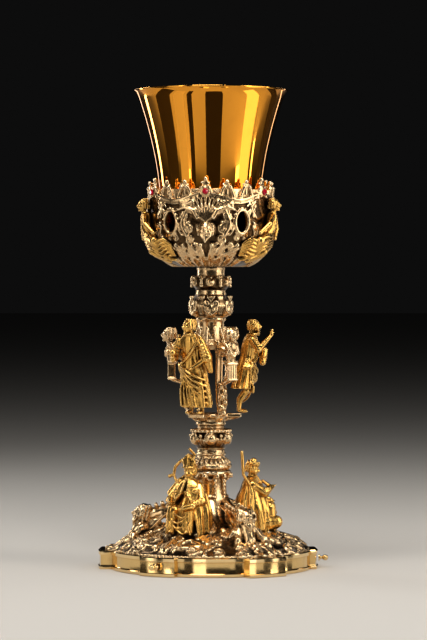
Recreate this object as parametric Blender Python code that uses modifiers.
"""Baroque silver-gilt chalice with a calyx, a figured nodus and a six-cornered foot.

Metres, +Z up. The origin is on the stem's axis at the level of the table.
The front is -Y; an azimuth is counted in degrees from the front towards +X.
"""

import functools
import math

import bmesh
import bpy
import numpy as np
from mathutils import Matrix, Vector

# Clearance between pieces that are made apart and stacked or fixed to each other
GAP = 0.0003

# Foot: polished band, its six corners, the chased mound and the hollow under it
BAND_HEIGHT = 0.0120
BAND_BEVEL = 0.0008
SIDE_RADIUS = 0.0640
HEAD_CORNER_RADIUS = 0.0712
STUD_CORNER_RADIUS = 0.0675
CORNER_HALF_ANGLE = 10.5
CORNER_STEP_ANGLE = 0.9
MOUND_EDGE_RADIUS = 0.0620
MOUND_TOP_HEIGHT = 0.0440
FOOT_WALL = 0.0030
FOOT_RIM_WIDTH = 0.0060
CAVITY_CORE_RADIUS = 0.0090

# Pedestal on the mound
PEDESTAL_TOP_HEIGHT = 0.0610
PEDESTAL_RADIUS = 0.0108
CAPITAL_RADIUS = 0.0125
CAPITAL_VOLUTE_RADIUS = 0.0018
CAPITAL_VOLUTE_ANGLE = 17.0

# Heads, their brackets and the scrolls on the mound
FOOT_HEAD_RADIUS = 0.0054
FOOT_HEAD_DISTANCE = 0.0440
FOOT_HEAD_HEIGHT = 0.0340
FOOT_SCROLL_WIDTH = 0.0026
MOUND_RELIEF = 0.0008

# Ball-ended pins in three corners
STUD_HEIGHT = 0.0062
STUD_BALL_RADIUS = 0.0019
STUD_SHANK_RADIUS = 0.0009
STUD_FLANGE_RADIUS = 0.0021
STUD_REACH = 0.0062

# Stem, from the pedestal up to the calyx
STEM_COLLAR_HEIGHT = 0.0132
STEM_COLLAR_RADIUS = 0.0132
STEM_NECK_RADIUS = 0.0087
LOWER_KNOP_HEIGHT = 0.0170
LOWER_KNOP_RADIUS = 0.0124
BALUSTER_HEIGHT = 0.0172
BALUSTER_RADIUS = 0.0145
COLLAR_RING_HEIGHT = 0.0142
COLLAR_RING_RADIUS = 0.0118
VOLUTE_RADIUS = 0.0032

# Nodus: an open cage of three herm brackets between a dished tray and a neck
NODUS_HEIGHT = 0.0652
NODUS_TRAY_HEIGHT = 0.0052
NODUS_TRAY_RADIUS = 0.0190
NODUS_NECK_HEIGHT = 0.0190
NODUS_NECK_RADIUS = 0.0096
NODUS_SHOULDER_RADIUS = 0.0135
HERM_DISTANCE = 0.0255
HERM_HEAD_RADIUS = 0.0045
GARLAND_BEAD_RADIUS = 0.0019
GARLAND_BEADS = 6

# Figures: each keeps its pose and proportions as shares of its own height
SAINT_HEIGHT = 0.0590
SAINT_DISTANCE = 0.0172
SAINT_LEAN = 0.17
SEATED_HEIGHT = 0.0470
SEATED_DISTANCE = 0.0250
SEATED_BASE_HEIGHT = 0.0255
CALYX_FIGURE_HEIGHT = 0.0400

# Calyx with its crest of finials and its six stones
CALYX_TURN = -5.0
CALYX_HEIGHT = 0.0480
CALYX_FLOOR = 0.0020
CALYX_WALL = 0.0020
CALYX_FLANGE_DEPTH = 0.0040
CALYX_FOOT_RADIUS = 0.0150
CALYX_BELLY_RADIUS = 0.0395
CALYX_BELLY_HEIGHT = 0.0300
CALYX_CREST_RADIUS = 0.0376
CALYX_FULLNESS = 2.2
CALYX_RELIEF = 0.0003
MASK_RADIUS = 0.0058
MASK_LEVEL = 0.0225
WINDOW_WIDTH = 0.0078
WINDOW_HEIGHT = 0.0130
WINDOW_LEVEL = 0.0275
WINDOW_TURN = 34.0
SWAG_DROP = 0.0050
SWAG_DEPTH = 0.0022
SWAG_RADIUS = 0.0012
FINIALS = 18
FINIAL_HEIGHT = 0.0105
FINIAL_WIDTH = 0.0052
STONES = 6
COLLET_RADIUS = 0.0028
COLLET_REACH = 0.0026
RUBY_RADIUS = 0.0020
RUBY_LEVEL = 0.0462

# Cup
CUP_HEIGHT = 0.1081
RIM_RADIUS = 0.0473
LIP_FLARE = 0.0012
LIP_HEIGHT = 0.0050
WAIST_RADIUS = 0.0326
BOWL_HEIGHT = 0.0400
BOWL_FULLNESS = 2.6
FLARE_POWER = 1.6
CUP_WALL = 0.0012

# Levels of the stacked pieces
STEM_COLLAR_LEVEL = PEDESTAL_TOP_HEIGHT + GAP
LOWER_KNOP_LEVEL = STEM_COLLAR_LEVEL + STEM_COLLAR_HEIGHT + GAP
NODUS_LEVEL = LOWER_KNOP_LEVEL + LOWER_KNOP_HEIGHT + GAP
BALUSTER_LEVEL = NODUS_LEVEL + NODUS_HEIGHT + GAP
COLLAR_RING_LEVEL = BALUSTER_LEVEL + BALUSTER_HEIGHT + GAP
CALYX_LEVEL = COLLAR_RING_LEVEL + COLLAR_RING_HEIGHT + GAP
CUP_LEVEL = CALYX_LEVEL + CALYX_FLOOR + GAP

# Azimuths: heads and brackets alternate with figures and studs
CORNERS = 6
HEAD_AZIMUTHS = (30.0, 150.0, 270.0)
FIGURE_AZIMUTHS = (-30.0, 90.0, 210.0)
CALYX_FIGURE_AZIMUTHS = tuple(CALYX_TURN + turn for turn in (60.0, 180.0, 300.0))

# The mound's outline: shares of the way in from its edge, and of the rise to its top
MOUND_OUTLINE = (
    (0.00, 0.00),
    (0.10, 0.12),
    (0.32, 0.25),
    (0.55, 0.37),
    (0.75, 0.55),
    (0.90, 0.80),
    (1.00, 1.00),
)

# Fineness of the faceted solids
CUP_SIDES = 32
CUP_RINGS = 4
CALYX_RINGS = 6
TURNED_SIDES = 32
VOXEL = 0.0007
FOOT_FACES = 1700
LOWER_KNOP_FACES = 360
BALUSTER_FACES = 380
COLLAR_RING_FACES = 360
NODUS_FACES = 1050
SAINT_FACES = 400
SEATED_FACES = 330
CALYX_FACES = 1450
CALYX_FIGURE_FACES = 240


def at(azimuth, radius, height):
    """The point at an azimuth, a distance from the axis and a height."""
    turn = math.radians(azimuth)
    return Vector((radius * math.sin(turn), -radius * math.cos(turn), height))


def facing(azimuth, radius=0.0, height=0.0):
    """Places a piece modelled facing -Y so that it faces out at an azimuth."""
    return Matrix.Translation(at(azimuth, radius, height)) @ Matrix.Rotation(
        math.radians(azimuth), 4, "Z"
    )


def clear_scene():
    for existing in list(bpy.data.objects):
        bpy.data.objects.remove(existing, do_unlink=True)


def new_collection(name):
    made = bpy.data.collections.new(name)
    bpy.context.scene.collection.children.link(made)
    return made


def new_material(name, colour, metallic, roughness):
    made = bpy.data.materials.new(name)
    made.use_nodes = True
    shader = made.node_tree.nodes["Principled BSDF"]
    shader.inputs["Base Color"].default_value = (*colour, 1.0)
    shader.inputs["Metallic"].default_value = metallic
    shader.inputs["Roughness"].default_value = roughness
    return made


def object_from_bmesh(name, bm):
    """A mesh object with its faces pointing out."""
    bmesh.ops.recalc_face_normals(bm, faces=bm.faces)
    mesh = bpy.data.meshes.new(name)
    bm.to_mesh(mesh)
    bm.free()
    made = bpy.data.objects.new(name, mesh)
    bpy.context.scene.collection.objects.link(made)
    return made


def settled(made):
    """The object with its modifiers applied and its transform in its mesh."""
    bpy.context.view_layer.update()
    graph = bpy.context.evaluated_depsgraph_get()
    mesh = bpy.data.meshes.new_from_object(made.evaluated_get(graph))
    mesh.transform(made.matrix_world)
    name = made.name
    bpy.data.objects.remove(made, do_unlink=True)
    fresh = bpy.data.objects.new(name, mesh)
    bpy.context.scene.collection.objects.link(fresh)
    return fresh


def turned(name, profile, sides):
    """Turns a profile of (radius, height) points, read down the outer side, about the axis."""
    bm = bmesh.new()
    points = [bm.verts.new((radius, 0.0, height)) for radius, height in profile]
    for first, second in zip(points, points[1:]):
        bm.edges.new((first, second))
    mesh = bpy.data.meshes.new(name)
    bm.to_mesh(mesh)
    bm.free()
    made = bpy.data.objects.new(name, mesh)
    bpy.context.scene.collection.objects.link(made)
    screw = made.modifiers.new("turn", "SCREW")
    screw.steps = screw.render_steps = sides
    screw.use_merge_vertices = True
    screw.merge_threshold = 0.00001
    return made


def combined(base, tools, operation):
    """The base with each tool joined to it or cut from it."""
    for tool in tools:
        modifier = base.modifiers.new(tool.name, "BOOLEAN")
        modifier.operation = operation
        modifier.solver = "EXACT"
        modifier.object = tool
        base = settled(base)
        bpy.data.objects.remove(tool, do_unlink=True)
    return base


@functools.cache
def unit_shape(kind, segments):
    """Points and faces of a ball, a rod or a cube of unit size."""
    bm = bmesh.new()
    if kind == "ball":
        bmesh.ops.create_uvsphere(bm, u_segments=segments, v_segments=segments // 2 + 2, radius=1.0)
    if kind == "rod":
        bmesh.ops.create_cone(
            bm, cap_ends=True, segments=segments, radius1=1.0, radius2=1.0, depth=1.0
        )
    if kind == "cube":
        bmesh.ops.create_cube(bm, size=1.0)
    bm.verts.index_update()
    points = np.array([vertex.co for vertex in bm.verts])
    faces = [[vertex.index for vertex in face.verts] for face in bm.faces]
    bm.free()
    return points, faces


class Clay:
    """Simple closed shapes pressed together, then fused into one faceted solid."""

    def __init__(self):
        self.points = []
        self.faces = []
        self.count = 0
        self.frame = Matrix()

    def press(self, points, faces, matrix=None):
        """Adds a shape's points, placed by the matrix and then by the frame."""
        placed = np.array(self.frame if matrix is None else self.frame @ matrix)
        self.points.append(points @ placed[:3, :3].T + placed[:3, 3])
        self.faces += [[index + self.count for index in face] for face in faces]
        self.count += len(points)

    def ball(self, centre, radii, segments=12):
        """An ellipsoid. Its radii are one number, or one for each direction."""
        if isinstance(radii, (int, float)):
            radii = (radii, radii, radii)
        points, faces = unit_shape("ball", segments)
        self.press(points, faces, Matrix.Translation(centre) @ Matrix.Diagonal((*radii, 1.0)))

    def limb(self, start, start_radius, end, end_radius, segments=10):
        """A tapering rod with rounded ends."""
        start, end = Vector(start), Vector(end)
        along = end - start
        points, faces = unit_shape("rod", segments)
        width = start_radius + (end_radius - start_radius) * (points[:, 2:] + 0.5)
        tapered = np.hstack([points[:, :2] * width, points[:, 2:] * along.length])
        turn = along.to_track_quat("Z", "Y").to_matrix().to_4x4()
        self.press(tapered, faces, Matrix.Translation((start + end) / 2) @ turn)
        self.ball(start, start_radius, segments=segments)
        self.ball(end, end_radius, segments=segments)

    def chain(self, points, radii):
        """Limbs one after the other along some points."""
        if isinstance(radii, (int, float)):
            radii = [radii] * len(points)
        for index in range(len(points) - 1):
            self.limb(points[index], radii[index], points[index + 1], radii[index + 1])

    def loft(self, rings):
        """A skin over rings of equal count, closed by a flat face at each end."""
        count = len(rings[0])
        faces = []
        for lower in range(0, count * (len(rings) - 1), count):
            for index in range(count):
                after = (index + 1) % count
                upper = lower + count
                faces.append((lower + index, lower + after, upper + after, upper + index))
        last = count * (len(rings) - 1)
        faces.append(tuple(reversed(range(count))))
        faces.append(tuple(range(last, last + count)))
        self.press(np.array([tuple(point) for ring in rings for point in ring]), faces)

    def slab(self, centre, size):
        points, faces = unit_shape("cube", 4)
        self.press(points, faces, Matrix.Translation(centre) @ Matrix.Diagonal((*size, 1.0)))

    def add(self, made):
        """Takes in a finished object."""
        points = np.array([vertex.co for vertex in made.data.vertices])
        self.press(points, [list(face.vertices) for face in made.data.polygons])
        bpy.data.objects.remove(made, do_unlink=True)

    def add_clay(self, other, matrix):
        """Takes in other shapes, placed by the matrix."""
        self.press(np.vstack(other.points), other.faces, matrix)

    def as_object(self, name):
        """The shapes as one mesh, each facing out."""
        mesh = bpy.data.meshes.new(name)
        mesh.from_pydata(np.vstack(self.points), [], self.faces)
        bm = bmesh.new()
        bm.from_mesh(mesh)
        bpy.data.meshes.remove(mesh)
        return object_from_bmesh(name, bm)

    def fused(self, name, faces, matrix=None, voxel=VOXEL):
        """One solid of about this many triangles, fused where it is modelled and then moved by the matrix."""
        made = self.as_object(name)
        remesh = made.modifiers.new("fuse", "REMESH")
        remesh.mode = "VOXEL"
        remesh.voxel_size = voxel
        made = settled(made)
        coarser = made.modifiers.new("facets", "DECIMATE")
        coarser.ratio = min(1.0, faces / (2 * len(made.data.polygons)))
        made = settled(made)
        if matrix is not None:
            made.data.transform(matrix)
        return made


def box_between(low, high):
    """A wide box between two levels."""
    bm = bmesh.new()
    size = (0.3, 0.3, high - low, 1.0)
    matrix = Matrix.Translation((0, 0, (low + high) / 2)) @ Matrix.Diagonal(size)
    bmesh.ops.create_cube(bm, size=1.0, matrix=matrix)
    return object_from_bmesh("levels", bm)


def pleated_ring(centre, across, deep, pleats, depth, sides=24, turn=0.0):
    """A level ring of a garment, with its folds as shares of its width."""
    points = []
    for index in range(sides):
        angle = 2 * math.pi * index / sides
        fold = 1 + depth * math.cos(pleats * angle + turn)
        offset = Vector((across * fold * math.sin(angle), -deep * fold * math.cos(angle), 0.0))
        points.append(Vector(centre) + offset)
    return points


def cloak_ring(centre, across, deep, opening, thickness, pleats, depth, sides=20):
    """A level ring of a cloak, open at the front by an angle to each side."""
    outside, inside = [], []
    for index in range(sides + 1):
        angle = math.radians(opening + (360 - 2 * opening) * index / sides)
        fold = 1 + depth * math.cos(pleats * angle)
        direction = Vector((math.sin(angle), -math.cos(angle), 0.0))
        edge = Vector((across * fold * direction.x, deep * fold * direction.y, 0.0))
        outside.append(Vector(centre) + edge)
        inside.append(Vector(centre) + edge - direction * thickness)
    return outside + inside[::-1]


def add_head(clay, radius, bearded=False, curls=9, hair=1.0):
    """A head at the frame's origin, looking along -Y: face, hair and perhaps a beard."""

    def spot(across, out, up):
        return Vector((across, -out, up)) * radius

    clay.ball(spot(0, -0.10, 0.16), (0.78 * radius, 0.86 * radius, 0.84 * radius))
    clay.ball(spot(0, 0.20, -0.22), (0.60 * radius, 0.62 * radius, 0.76 * radius))
    clay.ball(spot(0, 0.60, 0.24), (0.48 * radius, 0.20 * radius, 0.13 * radius))
    clay.limb(spot(0, 0.76, 0.18), 0.09 * radius, spot(0, 0.95, -0.16), 0.15 * radius, segments=8)
    clay.ball(spot(0, 0.76, -0.44), (0.22 * radius, 0.14 * radius, 0.09 * radius))
    clay.ball(spot(0, 0.62, -0.78), 0.22 * radius)
    for side in (-1, 1):
        clay.ball(spot(side * 0.32, 0.54, -0.20), 0.25 * radius)
        clay.ball(spot(side * 0.66, 0.0, -0.02), (0.12 * radius, 0.18 * radius, 0.24 * radius))
    clay.ball(spot(0, -0.34, 0.22), (0.84 * hair * radius, 0.78 * radius, 0.92 * radius))
    for curl in range(curls):
        angle = math.radians(-118 + 236 * curl / (curls - 1))
        clay.ball(
            spot(0.82 * hair * math.sin(angle), 0.10, 0.12 + 0.80 * math.cos(angle)), 0.27 * hair * radius
        )
    if bearded:
        for lock in (-2, -1, 0, 1, 2):
            root = spot(0.26 * lock, 0.52 - 0.10 * abs(lock), -0.62 + 0.10 * abs(lock))
            clay.limb(root, 0.24 * radius, spot(0.13 * lock, 0.60, -1.42 + 0.14 * abs(lock)), 0.13 * radius)


def spiral(place, centre, size, start, turns, hand, steps=14):
    """Points of a volute from its eye out, on a surface that place maps (across, along) to."""
    found = []
    for index in range(steps + 1):
        share = index / steps
        reach = size * (0.16 + 0.84 * share)
        angle = math.radians(start) - hand * 2 * math.pi * turns * (1 - share)
        found.append(place(centre[0] + reach * math.cos(angle), centre[1] + reach * math.sin(angle)))
    return found


def add_volute(clay, place, centre, size, start, turns, hand, thickness, steps=14):
    """A scroll that thickens out from its eye. Returns the point where it ends."""
    points = spiral(place, centre, size, start, turns, hand, steps)
    count = len(points)
    clay.chain(points, [thickness * (0.62 + 0.38 * index / count) for index in range(count)])
    clay.ball(points[0], thickness * 1.25)
    return points[-1]


def add_fan(clay, place, root, reach, spread, flutes, thickness):
    """A shell: flutes that spread from a root, each with a rounded end."""
    for flute in range(flutes):
        angle = math.radians(90 + spread * (flute / (flutes - 1) - 0.5))
        length = reach * (0.80 + 0.20 * math.sin(math.pi * flute / (flutes - 1)))
        tip = place(root[0] + length * math.cos(angle), root[1] + length * math.sin(angle))
        clay.limb(place(*root), thickness * 0.5, tip, thickness)


def add_leaf(clay, spine, width, lobes):
    """A leaf along three or more points, with pairs of lobes that shrink towards its tip."""
    count = len(spine)
    clay.chain(spine, [width * (0.34 - 0.16 * index / (count - 1)) for index in range(count)])
    for lobe in range(lobes):
        share = (lobe + 0.5) / lobes * (count - 1)
        start = min(int(share), count - 2)
        along = (spine[start + 1] - spine[start]).normalized()
        root = spine[start].lerp(spine[start + 1], share - start)
        outward = Vector((root.x, root.y, 0.04)).normalized()
        sideways = along.cross(outward).normalized()
        size = width * (1.0 - 0.5 * lobe / lobes)
        for side in (-1, 1):
            tip = root + sideways * side * size * 0.80 + along * size * 0.55
            clay.limb(root, width * 0.26, tip, width * 0.18, segments=8)


def foot_radius(azimuth):
    """Distance from the axis to the outer face of the foot's band."""
    spacing = 360 / CORNERS
    nearest = HEAD_AZIMUTHS[0] + spacing * round((azimuth - HEAD_AZIMUTHS[0]) / spacing)
    away = abs(azimuth - nearest)
    is_head_corner = round((nearest - HEAD_AZIMUTHS[0]) / spacing) % 2 == 0
    corner_radius = HEAD_CORNER_RADIUS if is_head_corner else STUD_CORNER_RADIUS
    return corner_radius if away < CORNER_HALF_ANGLE + CORNER_STEP_ANGLE / 2 else SIDE_RADIUS


def foot_azimuths():
    """Azimuths of the foot's facets, with a pair at each step of its outline."""
    spacing = 360 / CORNERS
    step = CORNER_HALF_ANGLE + CORNER_STEP_ANGLE
    inside = [CORNER_HALF_ANGLE * share for share in (-1.0, -0.35, 0.35, 1.0)]
    side = [step + (spacing - 2 * step) * share for share in (0.0, 0.25, 0.5, 0.75, 1.0)]
    return [
        HEAD_AZIMUTHS[0] + spacing * corner + away for corner in range(CORNERS) for away in inside + side
    ]


def mound_height(radius):
    """Height of the mound's plain surface at a distance from the axis."""
    way_in = (MOUND_EDGE_RADIUS - radius) / (MOUND_EDGE_RADIUS - PEDESTAL_RADIUS)
    for (start, low), (end, high) in zip(MOUND_OUTLINE, MOUND_OUTLINE[1:]):
        if way_in <= end:
            rise = low + (high - low) * (way_in - start) / (end - start)
            break
    else:
        rise = 1.0
    return BAND_HEIGHT + (MOUND_TOP_HEIGHT - BAND_HEIGHT) * max(0.0, rise)


def mound_radii(offset=0.0):
    """The distances from the axis at which the mound's outline turns."""
    run = MOUND_EDGE_RADIUS - PEDESTAL_RADIUS
    return [MOUND_EDGE_RADIUS - run * share + offset for share, _ in MOUND_OUTLINE]


def foot_band():
    """The band as a solid disc with its corners, before it is hollowed."""
    azimuths = foot_azimuths()
    band = [
        [at(azimuth, foot_radius(azimuth), 0.0) for azimuth in azimuths],
        [at(azimuth, foot_radius(azimuth), BAND_HEIGHT - BAND_BEVEL) for azimuth in azimuths],
        [at(azimuth, foot_radius(azimuth) - BAND_BEVEL, BAND_HEIGHT) for azimuth in azimuths],
    ]
    clay = Clay()
    clay.loft(band)
    return clay.as_object("foot")


def foot_cavity():
    """The hollow under the foot, open at the bottom."""
    below = GAP
    rim = SIDE_RADIUS - FOOT_RIM_WIDTH
    outline = [(0.0, mound_height(CAVITY_CORE_RADIUS * 2) - FOOT_WALL)]
    for radius in reversed(mound_radii()):
        if CAVITY_CORE_RADIUS * 2 < radius < rim:
            outline.append((radius, mound_height(radius) - FOOT_WALL))
    outline += [(rim, mound_height(rim) - FOOT_WALL), (rim, -below), (0.0, -below)]
    return settled(turned("cavity", outline, TURNED_SIDES))


def on_mound(azimuth):
    """Maps (across, outwards) to a point just over the mound, from a place at an azimuth."""

    def place(across, distance):
        turn = azimuth + math.degrees(across / distance)
        return at(turn, distance, mound_height(distance) + MOUND_RELIEF)

    return place


def add_pedestal(clay):
    """The waisted pedestal, rooted in the mound, with six pairs of volutes and six husk pendants."""
    root = MOUND_TOP_HEIGHT - 2 * FOOT_WALL
    rise = PEDESTAL_TOP_HEIGHT - MOUND_TOP_HEIGHT
    outline = [
        (0.0, PEDESTAL_TOP_HEIGHT + 0.001),
        (CAPITAL_RADIUS, PEDESTAL_TOP_HEIGHT + 0.001),
        (CAPITAL_RADIUS, PEDESTAL_TOP_HEIGHT - 0.12 * rise),
        (PEDESTAL_RADIUS - 0.0012, PEDESTAL_TOP_HEIGHT - 0.30 * rise),
        (PEDESTAL_RADIUS - 0.0008, MOUND_TOP_HEIGHT + 0.15 * rise),
        (PEDESTAL_RADIUS + 0.0006, MOUND_TOP_HEIGHT - 0.05 * rise),
        (PEDESTAL_RADIUS - 0.0010, root),
        (0.0, root),
    ]
    clay.add(settled(turned("pedestal", outline, 24)))
    level = PEDESTAL_TOP_HEIGHT - 0.0012 - CAPITAL_VOLUTE_RADIUS
    for face in range(CORNERS):
        for side in (-1, 1):
            azimuth = 360 / CORNERS * face + side * CAPITAL_VOLUTE_ANGLE
            clay.frame = facing(azimuth)
            clay.limb(
                (0, -CAPITAL_RADIUS + 0.0030, level), CAPITAL_VOLUTE_RADIUS,
                (0, -CAPITAL_RADIUS - 0.0002, level), CAPITAL_VOLUTE_RADIUS,
            )
            clay.ball((0, -CAPITAL_RADIUS - CAPITAL_VOLUTE_RADIUS, level), 0.45 * CAPITAL_VOLUTE_RADIUS)
    for azimuth in HEAD_AZIMUTHS:
        for side in (-1, 1):
            clay.frame = facing(azimuth + side * CAPITAL_VOLUTE_ANGLE)
            for husk in range(4):
                size = 0.0020 - 0.0003 * husk
                height = level - 0.0034 - 0.0030 * husk
                clay.ball((0, -PEDESTAL_RADIUS - 0.0002, height), (size, size, 1.2 * size))
    clay.frame = Matrix()


def add_head_bracket(clay, azimuth):
    """A bearded head over a leaf that runs down to the foot's corner, with a scroll at each side."""
    place = on_mound(azimuth)
    back = [
        at(azimuth, PEDESTAL_RADIUS + 0.006, MOUND_TOP_HEIGHT - 0.003),
        at(azimuth, FOOT_HEAD_DISTANCE - 0.012, FOOT_HEAD_HEIGHT + 0.001),
        at(azimuth, FOOT_HEAD_DISTANCE - 0.003, FOOT_HEAD_HEIGHT - 0.002),
    ]
    clay.chain(back, [0.0034, 0.0040, 0.0046])
    clay.limb(back[-1], 0.0046, place(0, FOOT_HEAD_DISTANCE + 0.004), 0.0042)
    clay.frame = facing(azimuth, FOOT_HEAD_DISTANCE, FOOT_HEAD_HEIGHT) @ Matrix.Rotation(
        math.radians(-12), 4, "X"
    )
    add_head(clay, FOOT_HEAD_RADIUS, bearded=True, hair=1.15)
    clay.frame = Matrix()
    corner = HEAD_CORNER_RADIUS
    spine = [place(0, distance) for distance in (0.68 * corner, 0.78 * corner, 0.88 * corner)]
    add_leaf(clay, spine, 0.0062, 3)
    for side in (-1, 1):
        strand = [
            at(azimuth + side * 7, FOOT_HEAD_DISTANCE, FOOT_HEAD_HEIGHT - 1.2 * FOOT_HEAD_RADIUS),
            place(side * 0.0100, 0.74 * corner),
            place(side * 0.0125, 0.84 * corner),
        ]
        clay.chain(strand, [0.0024, 0.0020, 0.0015])
        end = add_volute(
            clay, place, (side * 0.0128, 0.865 * corner), 0.0026, 90, 1.0, side, FOOT_SCROLL_WIDTH * 0.42
        )
        clay.limb(strand[-1], 0.0013, end, 0.0011)
    add_volute(clay, place, (0, 0.885 * corner), 0.0030, 100, 1.2, 1, FOOT_SCROLL_WIDTH * 0.45)


def add_stud_scrolls(clay, azimuth):
    """The C-scrolls and the leaf over a corner that carries a stud."""
    for side in (-1, 1):
        place = on_mound(azimuth + side * 18.5)
        end = add_volute(
            clay, place, (0, 0.0592), 0.0044, 90 - side * 130, 1.1, -side, FOOT_SCROLL_WIDTH * 0.55
        )
        bend = [(0.0090, 0.0560), (0.0085, 0.0490), (0.0030, 0.0450)]
        tail = [end] + [place(-side * across, distance) for across, distance in bend]
        clay.chain(tail, [FOOT_SCROLL_WIDTH * 0.55, 0.0014, 0.0012, 0.0010])
    place = on_mound(azimuth)
    spine = [place(0, distance) for distance in (0.0485, 0.0540, 0.0590)]
    add_leaf(clay, spine, 0.0052, 2)


def add_side_scrolls(clay, azimuth, towards):
    """Two volutes and a shell over one wide side of the foot. towards points to its head corner."""
    place = on_mound(azimuth + towards * 4)
    add_volute(clay, place, (0, 0.0612), 0.0028, 110, 1.2, towards, FOOT_SCROLL_WIDTH * 0.42)
    end = add_volute(clay, place, (0, 0.0530), 0.0030, 200, 1.2, -towards, FOOT_SCROLL_WIDTH * 0.45)
    clay.chain([end, place(-towards * 0.0060, 0.0500), place(-towards * 0.0040, 0.0430)], 0.0012)
    add_fan(clay, on_mound(azimuth), (0.0, 0.0480), -0.0085, 120, 5, 0.0013)
    add_fan(clay, on_mound(azimuth - towards * 2.5), (0.0, 0.0500), 0.0050, 120, 4, 0.0012)


def make_foot():
    """The foot as one casting: band, hollow mound, scrolls, heads and pedestal."""
    band = foot_band()
    clay = Clay()
    add_pedestal(clay)
    dome = [(0.0, MOUND_TOP_HEIGHT)]
    dome += [(radius, mound_height(radius)) for radius in reversed(mound_radii())]
    dome += [(MOUND_EDGE_RADIUS, BAND_HEIGHT - 0.0030), (0.0, BAND_HEIGHT - 0.0030)]
    clay.add(settled(turned("dome", dome, 2 * TURNED_SIDES)))
    for azimuth in HEAD_AZIMUTHS:
        add_head_bracket(clay, azimuth)
    for azimuth in FIGURE_AZIMUTHS:
        add_stud_scrolls(clay, azimuth)
        add_side_scrolls(clay, azimuth + 30, 1)
        add_side_scrolls(clay, azimuth - 30, -1)
    relief = clay.fused("relief", FOOT_FACES, voxel=1.1 * VOXEL)
    foot = combined(band, [relief], "UNION")
    foot = combined(foot, [foot_cavity()], "DIFFERENCE")
    foot = combined(foot, [box_between(0.0, PEDESTAL_TOP_HEIGHT)], "INTERSECT")
    foot.name = "foot"
    return foot


def make_studs():
    """Pins that stand out of the band at three corners, each with a flange and a ball."""
    made = []
    for number, azimuth in enumerate(FIGURE_AZIMUTHS, start=1):
        reach = STUD_REACH - STUD_BALL_RADIUS
        flange = 0.0008
        outline = [
            (0.0, STUD_REACH),
            (STUD_BALL_RADIUS * 0.7, reach + STUD_BALL_RADIUS * 0.7),
            (STUD_BALL_RADIUS, reach),
            (STUD_BALL_RADIUS * 0.7, reach - STUD_BALL_RADIUS * 0.7),
            (STUD_SHANK_RADIUS, reach - STUD_BALL_RADIUS),
            (STUD_SHANK_RADIUS, flange),
            (STUD_FLANGE_RADIUS, flange),
            (STUD_FLANGE_RADIUS, 0.0),
            (0.0, 0.0),
        ]
        stud = turned(f"stud_{number}", outline, 6)
        lying = Matrix.Rotation(math.radians(90), 4, "X")
        start = STUD_CORNER_RADIUS + GAP
        stud.matrix_world = facing(azimuth, start, STUD_HEIGHT) @ lying
        made.append(settled(stud))
    return made


def make_stem_collar():
    """The neck, its flare and the moulding that sits on the pedestal."""
    top = STEM_COLLAR_HEIGHT
    outline = [
        (0.0, top),
        (STEM_NECK_RADIUS, top),
        (STEM_NECK_RADIUS, 0.74 * top),
        (0.80 * STEM_COLLAR_RADIUS, 0.50 * top),
        (0.95 * STEM_COLLAR_RADIUS, 0.36 * top),
        (STEM_COLLAR_RADIUS, 0.27 * top),
        (STEM_COLLAR_RADIUS, 0.13 * top),
        (0.90 * STEM_COLLAR_RADIUS, 0.0),
        (0.0, 0.0),
    ]
    made = turned("stem_collar", outline, 20)
    made.location.z = STEM_COLLAR_LEVEL
    return settled(made)


def cast_ring(name, outline, faces, level, height, ornament):
    """A turned core with its ornament fused to it, cut flat at both ends and set at its level."""
    clay = Clay()
    clay.add(settled(turned("core", outline, 24)))
    ornament(clay)
    made = clay.fused(name, faces)
    made = combined(made, [box_between(0.0, height)], "INTERSECT")
    made.location.z = level
    return settled(made)


def add_volute_ring(clay, level, distance, radius, count, turn=0.0):
    """Volutes round the stem that face outwards, each with a raised eye and a curl round it."""
    for index in range(count):
        clay.frame = facing(turn + 360 * index / count)
        hand = 1 if index % 2 else -1
        clay.limb((0, -distance + radius, level), radius, (0, -distance + 0.0004, level), 0.80 * radius)
        add_volute(
            clay,
            lambda across, up: Vector((across, -distance - 0.0004, up)),
            (0.0, level),
            0.86 * radius,
            90,
            1.1,
            hand,
            0.24 * radius,
            steps=9,
        )
    clay.frame = Matrix()


def make_lower_knop():
    """The ring of six volutes under the nodus, below a moulding with leaf tips."""
    top = LOWER_KNOP_HEIGHT
    waist = STEM_NECK_RADIUS
    outline = [
        (0.0, top + GAP),
        (waist + 0.0009, top + GAP),
        (waist + 0.0009, 0.92 * top),
        (waist - 0.0003, 0.86 * top),
        (waist, 0.78 * top),
        (LOWER_KNOP_RADIUS, 0.72 * top),
        (LOWER_KNOP_RADIUS, 0.64 * top),
        (0.88 * LOWER_KNOP_RADIUS, 0.56 * top),
        (0.88 * LOWER_KNOP_RADIUS, 0.26 * top),
        (waist + 0.0004, 0.08 * top),
        (waist, -GAP),
        (0.0, -GAP),
    ]

    def ornament(clay):
        add_volute_ring(clay, 0.40 * top, LOWER_KNOP_RADIUS, 1.30 * VOLUTE_RADIUS, 6)
        for index in range(6):
            clay.frame = facing(30 + 60 * index)
            clay.limb(
                (0, -waist, 0.10 * top), 0.0012, (0, -LOWER_KNOP_RADIUS, 0.34 * top), 0.0016
            )
            clay.ball((0, -LOWER_KNOP_RADIUS - 0.0006, 0.68 * top), (0.0024, 0.0016, 0.0016))
        clay.frame = Matrix()

    return cast_ring("lower_knop", outline, LOWER_KNOP_FACES, LOWER_KNOP_LEVEL, top, ornament)


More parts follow.
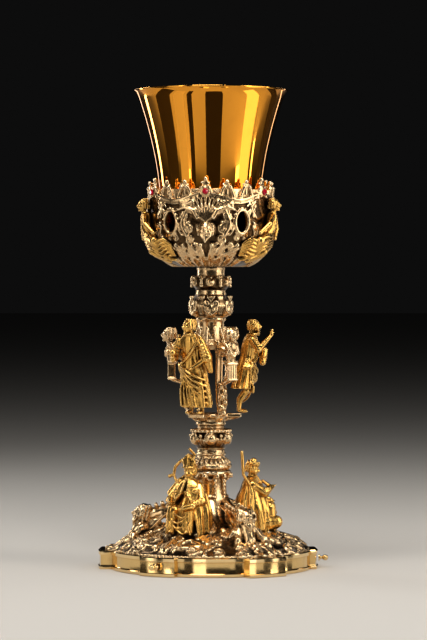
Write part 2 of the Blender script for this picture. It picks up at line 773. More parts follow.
def make_baluster():
    """The upper knop: six lobes, each framed by a pair of scrolls, under a row of leaf tips."""
    top = BALUSTER_HEIGHT
    outline = [
        (0.0, top + GAP),
        (NODUS_NECK_RADIUS - 0.0003, top + GAP),
        (NODUS_NECK_RADIUS + 0.0002, 0.85 * top),
        (0.74 * BALUSTER_RADIUS, 0.76 * top),
        (0.90 * BALUSTER_RADIUS, 0.62 * top),
        (0.90 * BALUSTER_RADIUS, 0.40 * top),
        (0.84 * BALUSTER_RADIUS, 0.22 * top),
        (0.72 * BALUSTER_RADIUS, 0.08 * top),
        (NODUS_NECK_RADIUS, -GAP),
        (0.0, -GAP),
    ]

    def ornament(clay):
        for index in range(6):
            clay.frame = facing(60 * index)
            clay.ball((0, -0.62 * BALUSTER_RADIUS, 0.34 * top), (0.0052, 0.0058, 0.0062))
            for side in (-1, 1):
                add_volute(
                    clay,
                    lambda across, up: at(
                        math.degrees(across / BALUSTER_RADIUS), 0.96 * BALUSTER_RADIUS, up
                    ),
                    (side * 0.0030, 0.50 * top),
                    0.0020,
                    -90,
                    1.0,
                    -side,
                    0.0007,
                    steps=9,
                )
            clay.frame = facing(30 + 60 * index)
            clay.limb(
                (0, -0.86 * BALUSTER_RADIUS, 0.50 * top), 0.0016,
                (0, -0.80 * BALUSTER_RADIUS, 0.78 * top), 0.0009,
            )
            clay.limb(
                (0, -0.78 * BALUSTER_RADIUS, 0.14 * top), 0.0012,
                (0, -0.92 * BALUSTER_RADIUS, 0.44 * top), 0.0015,
            )
        clay.frame = Matrix()

    return cast_ring("baluster", outline, BALUSTER_FACES, BALUSTER_LEVEL, top, ornament)


def make_collar_ring():
    """The plain collar under the calyx, over its ring of scrolls and beads."""
    top = COLLAR_RING_HEIGHT
    waist = STEM_NECK_RADIUS
    outline = [
        (0.0, top + GAP),
        (waist, top + GAP),
        (waist, 0.60 * top),
        (0.94 * COLLAR_RING_RADIUS, 0.54 * top),
        (0.94 * COLLAR_RING_RADIUS, 0.14 * top),
        (waist + 0.0006, -GAP),
        (0.0, -GAP),
    ]

    def ornament(clay):
        add_volute_ring(clay, 0.34 * top, COLLAR_RING_RADIUS, VOLUTE_RADIUS, 6)
        for index in range(6):
            clay.frame = facing(30 + 60 * index)
            clay.ball((0, -COLLAR_RING_RADIUS - 0.0004, 0.32 * top), 0.0015)
            clay.ball((0, -0.94 * COLLAR_RING_RADIUS, 0.56 * top), (0.0022, 0.0014, 0.0012))
        clay.frame = Matrix()

    return cast_ring("collar_ring", outline, COLLAR_RING_FACES, COLLAR_RING_LEVEL, top, ornament)


def add_bracket(clay):
    """One herm bracket of the nodus: strap, volute, bust, head, pendant and garland, facing -Y."""
    high = NODUS_HEIGHT - NODUS_NECK_HEIGHT
    strap = [
        Vector((0, -0.0095, 0.0010)),
        Vector((0, -0.0125, 0.0045)),
        Vector((0, -0.0110, 0.0120)),
        Vector((0, -0.0100, 0.0260)),
        Vector((0, -0.0105, 0.0400)),
        Vector((0, -0.0090, high + 0.002)),
    ]
    for side in (-1, 1):
        clay.chain([point + Vector((side * 0.0013, 0, 0)) for point in strap], 0.0014)
    clay.limb(strap[-1], 0.0030, (0, -0.62 * HERM_DISTANCE, high - 0.0006), 0.0034)
    for side in (-1, 1):
        add_volute(
            clay,
            lambda out, up: Vector((side * 0.0026, -out, up)),
            (0.0135, high - 0.0030),
            0.0030,
            100,
            1.2,
            1,
            0.0010,
            steps=10,
        )
    clay.ball((0, -0.0135, high - 0.0030), (0.0026, 0.0026, 0.0026))
    for across, up in ((-0.0022, 0.0036), (0.0022, 0.0040), (0.0, 0.0006)):
        clay.ball((across, -0.0118, high + up), 0.0016, segments=10)
    bust = Vector((0, -HERM_DISTANCE, high - 0.0008))
    clay.limb((0, -0.62 * HERM_DISTANCE, high - 0.0006), 0.0034, bust + Vector((0, 0.003, -0.001)), 0.0034)
    clay.ball(bust + Vector((0, 0.0004, 0.0020)), (0.0046, 0.0030, 0.0034))
    for across, up, size in ((-0.0028, -0.0016, 0.0020), (0.0028, -0.0012, 0.0020), (0.0, -0.0028, 0.0022)):
        clay.ball(bust + Vector((across, -0.0014, up)), size, segments=10)
    clay.limb(bust + Vector((0, 0.0008, -0.0030)), 0.0034, bust + Vector((0, 0.0008, -0.0075)), 0.0026)
    head = bust + Vector((0, -0.0012, 0.0048 + HERM_HEAD_RADIUS))
    clay.limb(bust + Vector((0, 0, 0.002)), 0.0020, head, 0.0020)
    clay.frame = Matrix.Translation(head)
    add_head(clay, HERM_HEAD_RADIUS, hair=1.14)
    clay.frame = Matrix()
    pendant = bust + Vector((0, 0.0010, -0.0078))
    clay.slab(pendant + Vector((0, 0, -0.0005)), (0.0078, 0.0058, 0.0013))
    clay.slab(pendant + Vector((0, 0, -0.0055)), (0.0060, 0.0044, 0.0100))
    for side in (-1, 0, 1):
        clay.slab(pendant + Vector((side * 0.0022, -0.0024, -0.0055)), (0.0012, 0.0010, 0.0092))
    clay.slab(pendant + Vector((0, 0, -0.0106)), (0.0074, 0.0054, 0.0013))
    tail = pendant + Vector((0, 0, -0.0110))
    clay.chain([tail, Vector((0, -0.0150, tail.z - 0.0030)), Vector((0, -0.0105, tail.z - 0.0050))], 0.0013)
    for index in range(GARLAND_BEADS):
        share = (index + 0.5) / GARLAND_BEADS
        level = 0.0040 + (tail.z - 0.0060) * share
        sideways = 0.0009 * (-1) ** index
        distance = 0.0138 + 0.0022 * math.sin(math.pi * share)
        clay.ball((sideways, -distance, level), GARLAND_BEAD_RADIUS, segments=10)
        between = (-2.2 * sideways, -distance + 0.0010, level + 0.0018)
        clay.ball(between, 0.65 * GARLAND_BEAD_RADIUS, segments=8)


def make_nodus():
    """The neck, three brackets, and the ring below with a ledge for each saint."""
    top = NODUS_HEIGHT
    shoulder = top - NODUS_NECK_HEIGHT
    clay = Clay()
    neck = [
        (0.0, top + GAP),
        (NODUS_NECK_RADIUS, top + GAP),
        (0.92 * NODUS_NECK_RADIUS, shoulder + 0.75 * NODUS_NECK_HEIGHT),
        (0.88 * NODUS_NECK_RADIUS, shoulder + 0.45 * NODUS_NECK_HEIGHT),
        (NODUS_SHOULDER_RADIUS - 0.0015, shoulder + 0.12 * NODUS_NECK_HEIGHT),
        (NODUS_SHOULDER_RADIUS - 0.0030, shoulder - 0.0010),
        (0.0, shoulder - 0.0010),
    ]
    clay.add(settled(turned("neck", neck, 24)))
    ring = [
        (0.0, NODUS_TRAY_HEIGHT),
        (0.60 * NODUS_TRAY_RADIUS, NODUS_TRAY_HEIGHT),
        (0.62 * NODUS_TRAY_RADIUS, 0.66 * NODUS_TRAY_HEIGHT),
        (STEM_NECK_RADIUS + 0.0006, 0.30 * NODUS_TRAY_HEIGHT),
        (STEM_NECK_RADIUS + 0.0006, -GAP),
        (0.0, -GAP),
    ]
    clay.add(settled(turned("ring", ring, 24)))
    ledge_thickness = 0.45 * NODUS_TRAY_HEIGHT
    for azimuth in FIGURE_AZIMUTHS:
        clay.frame = facing(azimuth)
        clay.slab(
            (0, -0.70 * NODUS_TRAY_RADIUS, NODUS_TRAY_HEIGHT - ledge_thickness / 2),
            (0.0110, 0.60 * NODUS_TRAY_RADIUS, ledge_thickness),
        )
        clay.limb(
            (0, -0.45 * NODUS_TRAY_RADIUS, 0.0010), 0.0016,
            (0, -0.92 * NODUS_TRAY_RADIUS, NODUS_TRAY_HEIGHT - 0.0016), 0.0015,
        )
    clay.frame = Matrix()
    bracket = Clay()
    add_bracket(bracket)
    for azimuth in HEAD_AZIMUTHS:
        clay.add_clay(bracket, facing(azimuth))
    nodus = clay.fused("nodus", NODUS_FACES)
    nodus = combined(nodus, [box_between(0.0, top)], "INTERSECT")
    nodus.location.z = NODUS_LEVEL
    nodus = settled(nodus)
    ledges = []
    for azimuth in FIGURE_AZIMUTHS:
        bm = bmesh.new()
        level = NODUS_LEVEL + NODUS_TRAY_HEIGHT
        matrix = facing(azimuth, SAINT_DISTANCE, level + 0.006) @ Matrix.Diagonal((0.015, 0.013, 0.012, 1.0))
        bmesh.ops.create_cube(bm, size=1.0, matrix=matrix)
        ledges.append(object_from_bmesh("saint_room", bm))
    return combined(nodus, ledges, "DIFFERENCE")


def saint(arms, robe_hem, bearded, gaze, attribute):
    """A standing figure in clay, as shares of its height. It faces -Y and leans outwards."""
    clay = Clay()
    tall = SAINT_HEIGHT

    def spot(across, out, up):
        return Vector((across, -out - SAINT_LEAN * up, up)) * tall

    for side in (-1, 1):
        knee = spot(side * 0.072, 0.035, 0.24)
        clay.limb(spot(side * 0.070, 0.00, 0.45), 0.056 * tall, knee, 0.042 * tall)
        clay.limb(knee, 0.040 * tall, spot(side * 0.066, 0.00, 0.04), 0.025 * tall)
        clay.ball(spot(side * 0.070, 0.040, 0.022), (0.026 * tall, 0.056 * tall, 0.022 * tall))
    garment = (
        (robe_hem, 0.170, 0.115, 0.13),
        (0.5 * (robe_hem + 0.34), 0.160, 0.112, 0.11),
        (0.36, 0.148, 0.105, 0.08),
        (0.50, 0.132, 0.094, 0.05),
        (0.60, 0.104, 0.080, 0.03),
        (0.70, 0.116, 0.084, 0.02),
        (0.79, 0.124, 0.074, 0.0),
        (0.85, 0.066, 0.050, 0.0),
    )
    clay.loft(
        [
            pleated_ring(spot(0.0, 0.0, up), across * tall, deep * tall, 9, depth, sides=36)
            for up, across, deep, depth in garment
        ]
    )
    clay.limb(spot(0, 0.0, 0.82), 0.034 * tall, spot(0, 0.01, 0.90), 0.032 * tall)
    clay.frame = (
        Matrix.Translation(spot(-0.01, 0.020, 0.925))
        @ Matrix.Rotation(math.radians(gaze[0]), 4, "Z")
        @ Matrix.Rotation(math.radians(gaze[1]), 4, "Y")
    )
    add_head(clay, 0.070 * tall, bearded=bearded, curls=9)
    clay.frame = Matrix()
    for shoulder, elbow, hand, sleeve in arms:
        clay.limb(spot(*shoulder), 0.044 * tall, spot(*elbow), sleeve * tall)
        clay.limb(spot(*elbow), 0.036 * tall, spot(*hand), 0.021 * tall)
        clay.ball(spot(*hand), 0.030 * tall)
    sash = [
        spot(0.12, 0.03, 0.80),
        spot(0.03, 0.095, 0.64),
        spot(-0.12, 0.055, 0.52),
        spot(-0.13, -0.03, 0.50),
    ]
    clay.chain(sash, [0.034 * tall, 0.034 * tall, 0.036 * tall, 0.030 * tall])
    for fold in range(3):
        clay.chain(
            [
                spot(-0.14, 0.05, 0.53 - 0.02 * fold),
                spot(0.02, 0.125 - 0.01 * fold, 0.44 - 0.07 * fold),
                spot(0.15, 0.03, 0.34 - 0.09 * fold),
            ],
            [0.026 * tall, 0.026 * tall, 0.020 * tall],
        )
    for start, start_radius, end, end_radius in attribute:
        clay.limb(spot(*start), start_radius * tall, spot(*end), end_radius * tall)
    return clay


SAINTS = (
    {
        "arms": (
            ((-0.13, 0.02, 0.77), (-0.20, 0.02, 0.60), (-0.15, 0.14, 0.60), 0.046),
            ((0.13, 0.02, 0.77), (0.19, 0.03, 0.60), (0.08, 0.14, 0.50), 0.066),
        ),
        "robe_hem": 0.07,
        "bearded": False,
        "gaze": (-25, -12),
        "attribute": (
            ((-0.15, 0.15, 0.58), 0.032, (-0.15, 0.15, 0.60), 0.026),
            ((-0.15, 0.15, 0.60), 0.018, (-0.15, 0.15, 0.65), 0.040),
            ((0.19, 0.03, 0.60), 0.060, (0.21, 0.00, 0.46), 0.028),
        ),
    },
    {
        "arms": (
            ((-0.13, 0.02, 0.78), (-0.18, 0.10, 0.68), (-0.15, 0.20, 0.82), 0.036),
            ((0.13, 0.03, 0.78), (0.17, 0.08, 0.62), (0.08, 0.16, 0.60), 0.042),
        ),
        "robe_hem": 0.26,
        "bearded": True,
        "gaze": (0, 0),
        "attribute": (
            ((-0.15, 0.20, 0.82), 0.016, (-0.14, 0.21, 0.89), 0.011),
            ((0.10, 0.02, 0.62), 0.060, (0.12, 0.10, 0.36), 0.050),
            ((0.12, 0.10, 0.36), 0.050, (0.10, 0.02, 0.22), 0.020),
            ((0.06, 0.17, 0.54), 0.040, (0.10, 0.17, 0.66), 0.040),
        ),
    },
    {
        "arms": (
            ((-0.13, 0.02, 0.77), (-0.17, 0.05, 0.62), (-0.06, 0.15, 0.66), 0.044),
            ((0.13, 0.02, 0.77), (0.17, 0.05, 0.62), (0.05, 0.15, 0.56), 0.044),
        ),
        "robe_hem": 0.07,
        "bearded": True,
        "gaze": (10, 0),
        "attribute": (
            ((-0.05, 0.15, 0.60), 0.050, (0.06, 0.15, 0.70), 0.050),
            ((-0.17, 0.04, 0.60), 0.050, (-0.18, 0.00, 0.44), 0.025),
        ),
    },
)


def make_saints():
    base = NODUS_LEVEL + NODUS_TRAY_HEIGHT + GAP
    made = []
    for number, (azimuth, look) in enumerate(zip(FIGURE_AZIMUTHS, SAINTS), start=1):
        place = facing(azimuth, SAINT_DISTANCE, base - GAP)
        figure = saint(**look).fused(f"saint_{number}", SAINT_FACES, place)
        made.append(combined(figure, [box_between(base, base + 2 * SAINT_HEIGHT)], "INTERSECT"))
    return made


def seated(look):
    """A seated figure in a wide cloak, as shares of its height. It faces -Y."""
    clay = Clay()
    tall = SEATED_HEIGHT

    def spot(across, out, up):
        return Vector((across, -out, up)) * tall

    robe = (
        (-0.06, 0.20, 0.16, 0.10, 0.05),
        (0.10, 0.20, 0.17, 0.10, 0.06),
        (0.28, 0.19, 0.17, 0.08, 0.05),
        (0.38, 0.17, 0.13, 0.04, 0.03),
        (0.52, 0.15, 0.10, 0.00, 0.02),
        (0.62, 0.15, 0.09, 0.00, 0.00),
        (0.68, 0.08, 0.06, 0.01, 0.00),
    )
    clay.loft(
        [
            pleated_ring(spot(0, out, up), across * tall, deep * tall, 9, depth, sides=36)
            for up, across, deep, out, depth in robe
        ]
    )
    cloak = (
        (-0.06, 0.335, 0.26, 0.05, 48, 0.05),
        (0.10, 0.325, 0.26, 0.04, 44, 0.05),
        (0.28, 0.310, 0.24, 0.03, 36, 0.05),
        (0.42, 0.265, 0.20, 0.02, 24, 0.04),
        (0.50, 0.235, 0.16, 0.02, 12, 0.03),
        (0.60, 0.190, 0.12, 0.01, 10, 0.02),
        (0.67, 0.110, 0.08, 0.01, 10, 0.00),
    )
    clay.loft(
        [
            cloak_ring(
                spot(0, out, up), across * tall, deep * tall, opening, 0.055 * tall, 11, depth, sides=40
            )
            for up, across, deep, out, opening, depth in cloak
        ]
    )
    for side in (-1, 1):
        clay.chain(
            [spot(side * 0.08, 0.04, 0.30), spot(side * 0.12, 0.26, 0.27), spot(side * 0.12, 0.27, 0.02)],
            [0.085 * tall, 0.080 * tall, 0.070 * tall],
        )
        clay.ball(spot(side * 0.12, 0.31, 0.00), (0.035 * tall, 0.060 * tall, 0.030 * tall))
    for fold in range(4):
        low = 0.24 - 0.07 * fold
        clay.chain(
            [
                spot(-0.14, 0.32, low + 0.03),
                spot(0.0, 0.32 - 0.01 * fold, low - 0.03),
                spot(0.14, 0.32, low + 0.01),
            ],
            0.022 * tall,
        )
    for shoulder, elbow, hand in look["arms"]:
        clay.chain([spot(*shoulder), spot(*elbow), spot(*hand)], [0.060 * tall, 0.062 * tall, 0.034 * tall])
        clay.ball(spot(*hand), 0.042 * tall)
    clay.ball(spot(0, 0.12, 0.49), (0.045 * tall, 0.030 * tall, 0.030 * tall))
    for side in (-1, 1):
        clay.chain(
            [spot(side * 0.03, 0.12, 0.50), spot(side * 0.16, 0.13, 0.52), spot(side * 0.21, 0.05, 0.54)],
            0.026 * tall,
        )
    clay.limb(spot(0, 0.0, 0.64), 0.050 * tall, spot(0, 0.02, 0.74), 0.045 * tall)
    head = spot(0, 0.03, 0.78)
    clay.frame = Matrix.Translation(head) @ Matrix.Rotation(math.radians(look["nod"]), 4, "X")
    add_head(clay, 0.092 * tall, bearded=look["bearded"])
    crown = look["crown"]
    if crown == "mitre":
        rings = ((0.045, 0.080, 0.078), (0.12, 0.098, 0.060), (0.17, 0.070, 0.046), (0.235, 0.010, 0.030))
        clay.loft(
            [
                pleated_ring(Vector((0, 0.01, up)) * tall, across * tall, deep * tall, 2, 0.0)
                for up, across, deep in rings
            ]
        )
    if crown == "hat":
        clay.ball(Vector((0, 0.02, 0.07)) * tall, (0.175 * tall, 0.150 * tall, 0.026 * tall))
        clay.ball(Vector((0, 0.02, 0.11)) * tall, (0.080 * tall, 0.080 * tall, 0.055 * tall))
    if crown == "flowers":
        for flower in range(9):
            angle = 2 * math.pi * flower / 9
            clay.ball(
                Vector((0.080 * math.sin(angle), 0.01 - 0.070 * math.cos(angle), 0.075)) * tall, 0.036 * tall
            )
        clay.ball(Vector((0, 0.01, 0.10)) * tall, 0.050 * tall)
    clay.frame = Matrix()
    for start, start_radius, end, end_radius in look["held"]:
        clay.limb(spot(*start), start_radius * tall, spot(*end), end_radius * tall)
    return clay


SEATED = (
    {
        "arms": (
            ((-0.15, 0.02, 0.58), (-0.24, 0.12, 0.40), (-0.14, 0.30, 0.38)),
            ((0.15, 0.02, 0.58), (0.24, 0.12, 0.40), (0.14, 0.28, 0.34)),
        ),
        "crown": "mitre",
        "nod": 8,
        "bearded": True,
        "held": (
            ((0.10, 0.34, 0.32), 0.050, (0.20, 0.30, 0.34), 0.050),
            ((-0.20, -0.02, 0.60), 0.022, (-0.24, -0.08, 0.86), 0.020),
            ((-0.24, -0.08, 0.86), 0.020, (-0.34, -0.06, 0.88), 0.020),
            ((-0.34, -0.06, 0.88), 0.020, (-0.33, -0.06, 0.78), 0.018),
        ),
    },
    {
        "arms": (
            ((-0.15, 0.02, 0.58), (-0.20, 0.18, 0.48), (-0.10, 0.28, 0.54)),
            ((0.15, 0.02, 0.58), (0.23, 0.08, 0.42), (0.13, 0.26, 0.36)),
        ),
        "crown": "flowers",
        "nod": 12,
        "bearded": True,
        "held": (
            ((-0.10, 0.28, 0.54), 0.030, (-0.02, 0.16, 0.62), 0.022),
            ((-0.22, -0.02, 0.56), 0.024, (-0.24, -0.20, 0.70), 0.022),
            ((-0.24, -0.20, 0.70), 0.022, (-0.25, -0.12, 1.04), 0.018),
            ((-0.16, 0.22, 0.06), 0.110, (-0.14, 0.34, 0.08), 0.090),
        ),
    },
    {
        "arms": (
            ((-0.15, 0.02, 0.58), (-0.23, 0.12, 0.44), (-0.20, 0.28, 0.46)),
            ((0.15, 0.02, 0.58), (0.24, 0.12, 0.42), (0.06, 0.28, 0.40)),
        ),
        "crown": "hat",
        "nod": 5,
        "bearded": True,
        "held": (
            ((-0.20, 0.28, 0.12), 0.020, (-0.20, 0.26, 0.92), 0.018),
            ((-0.20, 0.26, 0.92), 0.018, (-0.12, 0.26, 1.00), 0.018),
            ((0.06, 0.32, 0.30), 0.060, (-0.06, 0.32, 0.32), 0.060),
        ),
    },
)


def mound_clearance():
    """What a seated figure is cut by: the mound and pedestal, grown by the gap."""
    outline = [(0.0, PEDESTAL_TOP_HEIGHT + 0.01), (CAPITAL_RADIUS + 0.004, PEDESTAL_TOP_HEIGHT + 0.01)]
    outline.append((PEDESTAL_RADIUS + 0.0040, MOUND_TOP_HEIGHT))
    for radius in reversed(mound_radii()[:-1]):
        outline.append((radius + 2 * GAP, mound_height(radius) + 3 * GAP))
    outline += [(MOUND_EDGE_RADIUS + GAP, 0.002), (0.0, 0.002)]
    return settled(turned("mound_clearance", outline, TURNED_SIDES))


def make_seated():
    made = []
    for number, (azimuth, look) in enumerate(zip(FIGURE_AZIMUTHS, SEATED), start=1):
        place = facing(azimuth, SEATED_DISTANCE, SEATED_BASE_HEIGHT)
        figure = seated(look).fused(f"seated_{number}", SEATED_FACES, place)
        made.append(combined(figure, [mound_clearance()], "DIFFERENCE"))
    return made


def cup_radius(height):
    """Outer radius of the cup at a height above its own bottom."""
    if height <= BOWL_HEIGHT:
        below = max(0.0, 1 - height / BOWL_HEIGHT)
        return WAIST_RADIUS * (1 - below**BOWL_FULLNESS) ** (1 / BOWL_FULLNESS)
    rise = (height - BOWL_HEIGHT) / (CUP_HEIGHT - BOWL_HEIGHT)
    lip = max(0.0, (height - CUP_HEIGHT + LIP_HEIGHT) / LIP_HEIGHT)
    return WAIST_RADIUS + (RIM_RADIUS - WAIST_RADIUS) * rise**FLARE_POWER + LIP_FLARE * lip**2


def bowl_heights(count):
    """Heights from the cup's bottom to its waist, closer together where it curves most."""
    return [BOWL_HEIGHT * (1 - math.cos(math.pi / 2 * index / count)) for index in range(count + 1)]


def make_cup():
    """A thin shell, open at the rim."""
    heights = bowl_heights(CUP_RINGS)
    above = CUP_HEIGHT - LIP_HEIGHT - BOWL_HEIGHT
    heights += [BOWL_HEIGHT + above * share for share in (0.35, 0.70, 1.0)] + [CUP_HEIGHT]
    outline = [(cup_radius(height), CUP_LEVEL + height) for height in reversed(heights)]
    cup = turned("cup", outline, CUP_SIDES)
    shell = cup.modifiers.new("wall", "SOLIDIFY")
    shell.thickness = CUP_WALL
    shell.offset = -1
    return settled(cup)


def calyx_radius(height):
    """Outer radius of the calyx at a height above its own bottom."""
    if height <= CALYX_BELLY_HEIGHT:
        below = max(0.0, 1 - height / CALYX_BELLY_HEIGHT)
        bulge = (1 - below**CALYX_FULLNESS) ** (1 / CALYX_FULLNESS)
        return CALYX_FOOT_RADIUS + (CALYX_BELLY_RADIUS - CALYX_FOOT_RADIUS) * bulge
    rise = (height - CALYX_BELLY_HEIGHT) / (CALYX_HEIGHT - CALYX_BELLY_HEIGHT)
    return CALYX_BELLY_RADIUS + (CALYX_CREST_RADIUS - CALYX_BELLY_RADIUS) * rise**2


def calyx_heights():
    """Heights from the calyx's bottom to its belly, closer together where it curves most."""
    return [
        CALYX_BELLY_HEIGHT * (1 - math.cos(math.pi / 2 * index / CALYX_RINGS))
        for index in range(CALYX_RINGS + 1)
    ]


def calyx_outline():
    """The calyx's section: its seat under the cup, its inner wall, its crest and its outside."""
    clear = 2.5 * GAP
    seat = bowl_heights(CUP_RINGS)[1]
    outline = [(0.0, CALYX_FLOOR), (cup_radius(seat) + clear, CALYX_FLOOR + seat)]
    heights = calyx_heights()
    for height in heights[2:-1] + [CALYX_BELLY_HEIGHT, CALYX_HEIGHT - CALYX_FLANGE_DEPTH]:
        outline.append((calyx_radius(height) - CALYX_WALL, height))
    neck = max(cup_radius(CALYX_HEIGHT - CALYX_FLOOR), WAIST_RADIUS) + clear
    outline += [(neck, CALYX_HEIGHT - 0.5 * CALYX_FLANGE_DEPTH), (neck, CALYX_HEIGHT)]
    outline += [(calyx_radius(height), height) for height in [CALYX_HEIGHT] + list(reversed(heights))]
    outline.append((0.0, 0.0))
    return outline


def on_calyx(across, height, out=0.0):
    """A point over the calyx's wall, measured sideways, up and outwards, facing -Y."""
    return at(math.degrees(across / CALYX_BELLY_RADIUS), calyx_radius(height) + out, height)


def on_wall(across, height):
    return on_calyx(across, height, CALYX_RELIEF)


def calyx_window(azimuth):
    """A cutter through the calyx's wall between a mask and a figure."""
    bm = bmesh.new()
    matrix = (
        facing(azimuth, CALYX_BELLY_RADIUS, WINDOW_LEVEL)
        @ Matrix.Rotation(math.radians(90), 4, "X")
        @ Matrix.Diagonal((WINDOW_WIDTH / 2, WINDOW_HEIGHT / 2, 1.0, 1.0))
    )
    bmesh.ops.create_cone(
        bm, cap_ends=True, segments=10, radius1=1.0, radius2=1.0, depth=8 * CALYX_WALL, matrix=matrix
    )
    return object_from_bmesh("window", bm)


def add_mask(clay):
    """A bearded mask under a shell, over leaves that spread from the calyx's foot."""
    tilt = Matrix.Rotation(math.radians(-8), 4, "X")
    clay.frame = Matrix.Translation(on_calyx(0.0, MASK_LEVEL, -0.0010)) @ tilt
    add_head(clay, MASK_RADIUS, bearded=True, curls=11, hair=1.18)
    clay.frame = Matrix()
    add_fan(clay, on_wall, (0.0, MASK_LEVEL + 0.0050), 0.0170, 118, 7, 0.0014)
    for side in (-1, 1):
        for centre, size, start, hand in (
            ((side * 0.0105, MASK_LEVEL + 0.0010), 0.0032, 90, side),
            ((side * 0.0100, MASK_LEVEL - 0.0060), 0.0026, -90, -side),
            ((side * 0.0075, 0.0100), 0.0034, 90, -side),
            ((side * 0.0170, 0.0075), 0.0030, 90, side),
        ):
            add_volute(clay, on_wall, centre, size, start, 1.2, hand, 0.0009, steps=10)
        for across, height in ((0.0035, 0.0120), (0.0110, 0.0130), (0.0190, 0.0115)):
            clay.limb(
                on_wall(side * across * 0.35, 0.0005), 0.0012, on_wall(side * across, height), 0.0013
            )


def add_window_frame(clay):
    """The moulding round one window."""
    points = []
    for step in range(15):
        angle = 2 * math.pi * step / 14
        points.append(
            on_wall(
                (WINDOW_WIDTH / 2 + 0.0008) * math.sin(angle),
                WINDOW_LEVEL + (WINDOW_HEIGHT / 2 + 0.0008) * math.cos(angle),
            )
        )
    clay.chain(points, 0.0010)


def add_crest(clay):
    """The moulding that swags from stone to stone, with its row of finials and the settings."""
    swag = []
    for step in range(72):
        azimuth = 5 * step
        height = CALYX_HEIGHT - SWAG_DROP + SWAG_DEPTH * math.cos(math.radians(6 * azimuth))
        swag.append(at(azimuth, calyx_radius(height) + 0.5 * SWAG_RADIUS, height))
    clay.chain(swag + swag[:1], SWAG_RADIUS)
    for index in range(FINIALS):
        clay.frame = facing(360 * index / FINIALS)
        tall = FINIAL_HEIGHT * (1.0 if index % 3 == 0 else 0.84)
        foot = Vector((0, -CALYX_CREST_RADIUS + 0.0006, CALYX_HEIGHT - 0.0030))
        top = foot + Vector((0, -0.0014, tall))
        clay.limb(foot, 0.36 * FINIAL_WIDTH, foot.lerp(top, 0.72), 0.26 * FINIAL_WIDTH, segments=8)
        clay.ball(top - Vector((0, 0, 0.30 * FINIAL_WIDTH)), 0.30 * FINIAL_WIDTH, segments=8)
        for side in (-1, 1):
            curl = foot.lerp(top, 0.66) + Vector((side * 0.44 * FINIAL_WIDTH, -0.0004, 0))
            clay.limb(foot.lerp(top, 0.30), 0.22 * FINIAL_WIDTH, curl, 0.18 * FINIAL_WIDTH, segments=8)
    for index in range(STONES):
        clay.frame = facing(360 * index / STONES)
        centre = Vector((0, -CALYX_CREST_RADIUS, RUBY_LEVEL))
        face = centre - Vector((0, COLLET_REACH, 0))
        clay.limb(centre, COLLET_RADIUS, face + Vector((0, 0.4 * COLLET_RADIUS, 0)), COLLET_RADIUS)
    clay.frame = Matrix()


def stone_room():
    """Cutters that level the face of each setting for its stone."""
    rooms = []
    for index in range(STONES):
        bm = bmesh.new()
        azimuth = CALYX_TURN + 360 * index / STONES
        depth = 4 * COLLET_RADIUS
        centre = facing(azimuth, CALYX_CREST_RADIUS + COLLET_REACH + depth / 2, CALYX_LEVEL + RUBY_LEVEL)
        size = (2.4 * COLLET_RADIUS, depth, 2.4 * COLLET_RADIUS, 1.0)
        bmesh.ops.create_cube(bm, size=1.0, matrix=centre @ Matrix.Diagonal(size))
        rooms.append(object_from_bmesh("stone_room", bm))
    return rooms


def cup_clearance():
    """The cup's outside, grown by the gap, which the calyx is cut by."""
    heights = bowl_heights(CUP_RINGS) + [CALYX_HEIGHT + FINIAL_HEIGHT]
    outline = [(0.0, CUP_LEVEL + heights[-1])]
    outline += [(cup_radius(height) + 2 * GAP, CUP_LEVEL + height - GAP) for height in reversed(heights)]
    outline[-1] = (0.0, CUP_LEVEL - GAP)
    return settled(turned("cup_clearance", outline, CUP_SIDES))


def make_calyx():
    """The pierced silver bowl that the cup sits in."""
    wall = settled(turned("wall", calyx_outline(), 2 * TURNED_SIDES))
    windows = [calyx_window(mask + side * WINDOW_TURN) for mask in (0, 120, 240) for side in (-1, 1)]
    clay = Clay()
    clay.add(combined(wall, windows, "DIFFERENCE"))
    mask, window_frame = Clay(), Clay()
    add_mask(mask)
    add_window_frame(window_frame)
    for azimuth in (0, 120, 240):
        clay.add_clay(mask, facing(azimuth))
        for side in (-1, 1):
            clay.add_clay(window_frame, facing(azimuth + side * WINDOW_TURN))
    add_crest(clay)
    calyx = clay.fused("calyx", CALYX_FACES, facing(CALYX_TURN, 0.0, CALYX_LEVEL))
    calyx = combined(calyx, [cup_clearance()] + stone_room(), "DIFFERENCE")
    return combined(calyx, [box_between(CALYX_LEVEL, CUP_LEVEL + BOWL_HEIGHT + 0.05)], "INTERSECT")


def make_rubies():
    """Cut stones, each just off the face of its setting."""
    made = []
    for index in range(STONES):
        outline = [
            (0.0, 0.0012),
            (0.55 * RUBY_RADIUS, 0.0012),
            (RUBY_RADIUS, 0.0),
            (0.0, 0.0),
        ]
        stone = turned(f"ruby_{index + 1}", outline, 8)
        azimuth = CALYX_TURN + 360 * index / STONES
        place = facing(azimuth, CALYX_CREST_RADIUS + COLLET_REACH + GAP, CALYX_LEVEL + RUBY_LEVEL)
        stone.matrix_world = place @ Matrix.Rotation(math.radians(90), 4, "X")
        made.append(settled(stone))
    return made


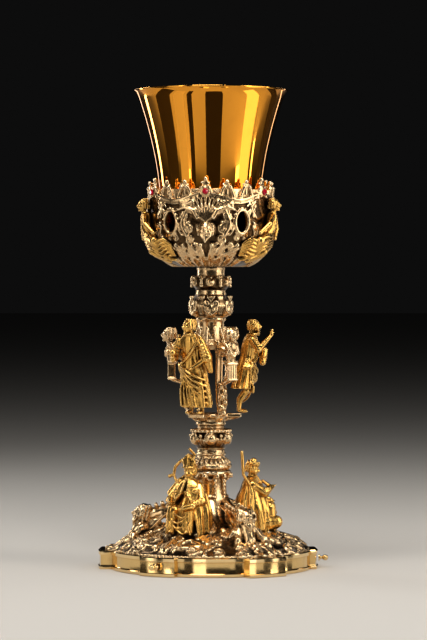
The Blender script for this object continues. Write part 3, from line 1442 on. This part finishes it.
def reclining(hand):
    """A reclining angel in clay on the calyx's wall. hand is 1 or -1 for the side of its head."""
    clay = Clay()
    tall = CALYX_FIGURE_HEIGHT

    def spot(across, height, out):
        return on_calyx(hand * across * tall, height * tall, out * tall)

    clay.chain(
        [spot(0.16, 0.78, 0.07), spot(0.10, 0.62, 0.09), spot(0.00, 0.48, 0.08)],
        [0.085 * tall, 0.090 * tall, 0.090 * tall],
    )
    head = spot(0.17, 0.96, 0.12)
    clay.limb(spot(0.15, 0.80, 0.09), 0.04 * tall, head, 0.04 * tall)
    clay.frame = Matrix.Translation(head) @ Matrix.Rotation(math.radians(hand * 20), 4, "Z")
    add_head(clay, 0.098 * tall, curls=11, hair=1.12)
    clay.frame = Matrix()
    clay.chain(
        [spot(0.00, 0.48, 0.10), spot(-0.16, 0.40, 0.15), spot(-0.20, 0.17, 0.07)],
        [0.085 * tall, 0.070 * tall, 0.045 * tall],
    )
    clay.chain(
        [spot(0.04, 0.46, 0.06), spot(0.02, 0.24, 0.15), spot(-0.14, 0.08, 0.07)],
        [0.085 * tall, 0.065 * tall, 0.040 * tall],
    )
    clay.chain(
        [spot(0.10, 0.78, 0.10), spot(-0.04, 0.66, 0.17), spot(-0.18, 0.52, 0.13)],
        [0.048 * tall, 0.042 * tall, 0.032 * tall],
    )
    clay.chain(
        [spot(0.24, 0.76, 0.08), spot(0.30, 0.58, 0.10), spot(0.22, 0.44, 0.13)],
        [0.048 * tall, 0.040 * tall, 0.030 * tall],
    )
    clay.chain(
        [spot(0.16, 0.56, 0.03), spot(0.22, 0.36, 0.06), spot(0.12, 0.20, 0.08), spot(-0.02, 0.10, 0.04)],
        [0.070 * tall, 0.080 * tall, 0.070 * tall, 0.045 * tall],
    )
    clay.chain(
        [spot(0.20, 0.84, 0.02), spot(0.27, 0.74, 0.05), spot(0.27, 0.60, 0.02)],
        [0.045 * tall, 0.045 * tall, 0.030 * tall],
    )
    return clay


def calyx_clearance():
    """What a calyx figure is cut by: the calyx's wall and its swag, grown by the gap."""
    grown = 2 * GAP
    swag = CALYX_HEIGHT - SWAG_DROP - SWAG_DEPTH - 2 * SWAG_RADIUS
    outline = [(0.0, CALYX_HEIGHT)]
    for height in (CALYX_HEIGHT, swag):
        outline.append((calyx_radius(height) + 2 * SWAG_RADIUS + grown, height))
    outline += [(calyx_radius(height) + grown, height - GAP) for height in [swag] + calyx_heights()[::-1]]
    outline.append((0.0, -GAP))
    made = settled(turned("calyx_clearance", outline, TURNED_SIDES))
    made.location.z = CALYX_LEVEL
    return settled(made)


def make_calyx_figures():
    made = []
    for number, (azimuth, hand) in enumerate(zip(CALYX_FIGURE_AZIMUTHS, (1, 1, -1)), start=1):
        place = facing(azimuth, 0.0, CALYX_LEVEL)
        figure = reclining(hand).fused(f"calyx_figure_{number}", CALYX_FIGURE_FACES, place)
        made.append(combined(figure, [calyx_clearance()], "DIFFERENCE"))
    return made


def finish(pieces, shown, material):
    """Names each piece, gives it its material and shading, and puts it in the chalice's collection."""
    for piece in pieces:
        for holder in list(piece.users_collection):
            holder.objects.unlink(piece)
        shown.objects.link(piece)
        piece.data.materials.clear()
        piece.data.materials.append(material)
        piece.data.shade_smooth()
        piece.data.set_sharp_from_angle(angle=math.radians(40))


def main():
    clear_scene()
    shown = new_collection("chalice")
    polished_gilt = new_material("polished_gilt", (0.86, 0.50, 0.12), 1.0, 0.08)
    gilt = new_material("gilt", (0.83, 0.56, 0.20), 1.0, 0.25)
    silver = new_material("silver", (0.80, 0.68, 0.50), 1.0, 0.30)
    ruby = new_material("ruby", (0.55, 0.01, 0.04), 0.0, 0.05)
    finish([make_cup()], shown, polished_gilt)
    finish([make_calyx(), make_collar_ring(), make_baluster()], shown, silver)
    finish([make_nodus(), make_lower_knop(), make_stem_collar(), make_foot()], shown, silver)
    finish(make_calyx_figures() + make_saints() + make_seated() + make_studs(), shown, gilt)
    finish(make_rubies(), shown, ruby)


main()
